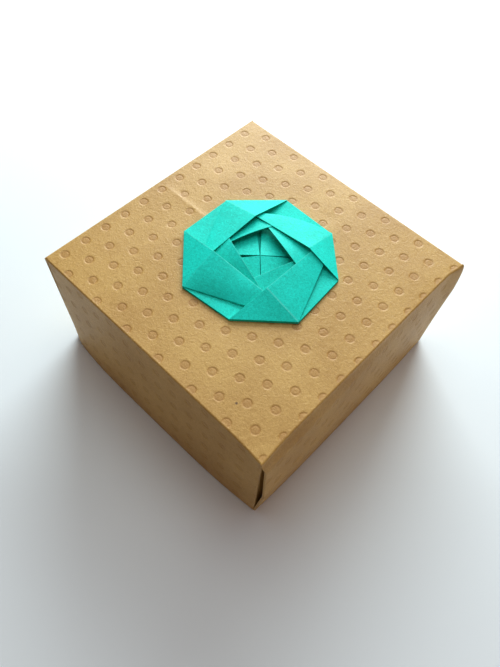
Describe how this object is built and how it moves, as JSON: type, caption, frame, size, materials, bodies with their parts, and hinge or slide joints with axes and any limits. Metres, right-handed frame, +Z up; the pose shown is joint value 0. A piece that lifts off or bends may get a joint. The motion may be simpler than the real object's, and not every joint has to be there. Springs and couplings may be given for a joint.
{
  "type": "masu box with lid",
  "caption": "Square gift box folded from kraft paper in the masu way: a tray, a lid of embossed paper that slips over it, and a folded teal rosette on the lid.",
  "frame": {"origin": "on the table under the middle of the box", "axes": "+Z up through the lid, X and Y along the box's sides, the two walls with folded corners facing +Y and -Y"},
  "size_m": [0.0742, 0.0764, 0.0417],
  "materials": {
    "kraft_paper": "matt uncoated brown kraft, embossed with small rings on the lid",
    "teal_paper": "matt teal origami paper, paler along worn folds"
  },
  "bodies": {
    "box": {"tray": "kraft_paper"},
    "cover": {"lid": "kraft_paper", "rosette": "teal_paper"}
  },
  "joints": [
    {"name": "lid_lift", "type": "slide", "parent": "box", "child": "cover", "axis": [0, 0, 1], "range_m": [0, 0.045]}
  ]
}
